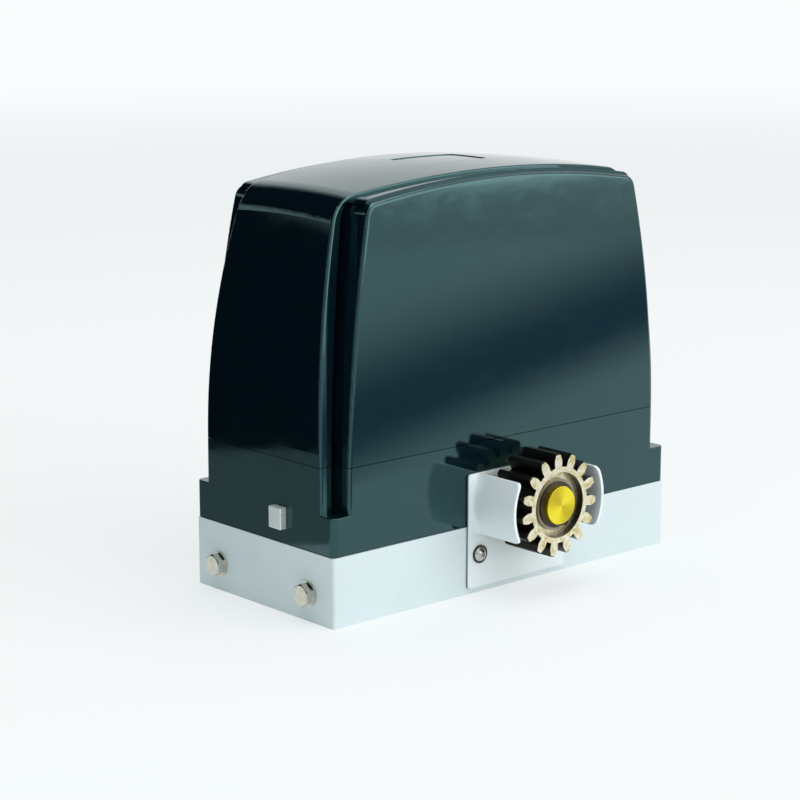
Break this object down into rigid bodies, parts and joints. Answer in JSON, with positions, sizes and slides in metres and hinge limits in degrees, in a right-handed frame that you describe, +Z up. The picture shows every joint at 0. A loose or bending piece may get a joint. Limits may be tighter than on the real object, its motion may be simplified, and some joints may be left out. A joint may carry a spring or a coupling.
{
  "type": "sliding gate motor",
  "caption": "Rack-and-pinion gate operator: glossy arched bonnet over a sheet-metal base, guarded output pinion on the front, worm drive and release clutch inside.",
  "frame": {"origin": "Centre of the ground plate underside", "axes": "+Z up, +X along the gate and the body length, -Y towards the pinion face"},
  "size_m": [0.3138, 0.1826, 0.2743],
  "materials": {
    "white_sheet": "powder coat",
    "galvanised": "zinc plated sheet",
    "zinc": "zinc plated",
    "steel": "machined",
    "black_rubber": "moulded",
    "pinion_steel": "yellow zinc plated",
    "chrome": "polished",
    "bronze": "machined",
    "cast_alloy": "die cast",
    "gloss_black": "glossy",
    "skirt_black": "glossy",
    "paper": "fibre",
    "lamination": "laminated",
    "copper": "enamelled wire",
    "board_green": "coated",
    "dark_plastic": "moulded",
    "relay_blue": "moulded",
    "terminal_green": "moulded",
    "light_plastic": "moulded",
    "glass_tube": "clear",
    "magnet": "sintered"
  },
  "bodies": {
    "base": {"ground_plate": "galvanised", "base_frame": "white_sheet", "pinion_guard": "white_sheet", "end_bolts": "zinc", "end_bolt_washers": "zinc", "guard_screws": "steel", "guard_screw_rings": "black_rubber", "case_screws": "zinc", "bonnet_screws": "steel", "nuts": "zinc", "release_bush": "dark_plastic", "gear_case": "cast_alloy", "case_gasket": "paper", "case_cover": "cast_alloy", "output_bearing_outers": "steel", "oil_seal": "black_rubber", "motor_housing": "cast_alloy", "stator_core": "lamination", "stator_windings": "copper", "motor_lower_shield": "cast_alloy", "motor_upper_shield": "cast_alloy", "motor_tie_bolts": "zinc", "motor_bearing_outers": "steel", "motor_shaft_seal": "black_rubber", "sensor_cap": "dark_plastic", "sensor_board": "board_green", "board_bracket": "galvanised", "control_board": "board_green", "board_screws": "zinc", "relays": "relay_blue", "terminal_block": "terminal_green", "board_modules": "dark_plastic", "filter_capacitors": "dark_plastic", "fuse_holder": "dark_plastic", "fuse": "glass_tube", "button_frame": "light_plastic", "run_capacitor": "light_plastic", "capacitor_clamp": "galvanised", "transformer_core": "lamination", "transformer_winding": "copper", "cable_grommet": "black_rubber", "lower_housing_screws": "zinc", "lower_housing": "skirt_black"},
    "output": {"output_shaft": "steel", "pinion": "pinion_steel", "pinion_key": "steel", "pinion_washer": "pinion_steel", "retaining_ring": "steel", "shaft_spacer": "steel", "output_bearing_inners": "steel"},
    "worm_wheel": {"worm_wheel": "bronze"},
    "clutch": {"clutch_sleeve": "steel"},
    "release": {"release_spindle": "chrome"},
    "motor_rotor": {"motor_shaft": "steel", "rotor": "lamination", "motor_bearing_inners": "steel", "sensor_magnet": "magnet"},
    "bonnet": {"bonnet": "gloss_black"},
    "learn_button": {"learn_button": "dark_plastic"}
  },
  "joints": [
    {"name": "output_spin", "type": "hinge", "parent": "base", "child": "output", "pos_m": [0.006, 0, 0.06], "axis": [0, 1, 0], "continuous": true},
    {"name": "wheel_spin", "type": "hinge", "parent": "base", "child": "worm_wheel", "pos_m": [0.006, 0, 0.06], "axis": [0, 1, 0], "continuous": true},
    {"name": "motor_spin", "type": "hinge", "parent": "base", "child": "motor_rotor", "pos_m": [-0.044, 0.01, 0.06], "axis": [0, 0, 1], "continuous": true},
    {"name": "clutch_slide", "type": "slide", "parent": "output", "child": "clutch", "axis": [0, -1, 0], "range_m": [0, 0.005]},
    {"name": "release_turn", "type": "hinge", "parent": "base", "child": "release", "pos_m": [-0.15, -0.018, 0.062], "axis": [1, 0, 0], "range_deg": [0, 90]},
    {"name": "bonnet_lift", "type": "slide", "parent": "base", "child": "bonnet", "axis": [0, 0, 1], "range_m": [0, 0.2]},
    {"name": "button_press", "type": "slide", "parent": "base", "child": "learn_button", "axis": [-1, 0, 0], "range_m": [0, 0.001], "stiffness_N_per_m": 300}
  ],
  "couplings": [
    {"joint": "wheel_spin", "follows": "output_spin", "ratio": 1},
    {"joint": "motor_spin", "follows": "output_spin", "ratio": -40},
    {"joint": "release_turn", "follows": "clutch_slide", "rad_per_m": 314}
  ]
}
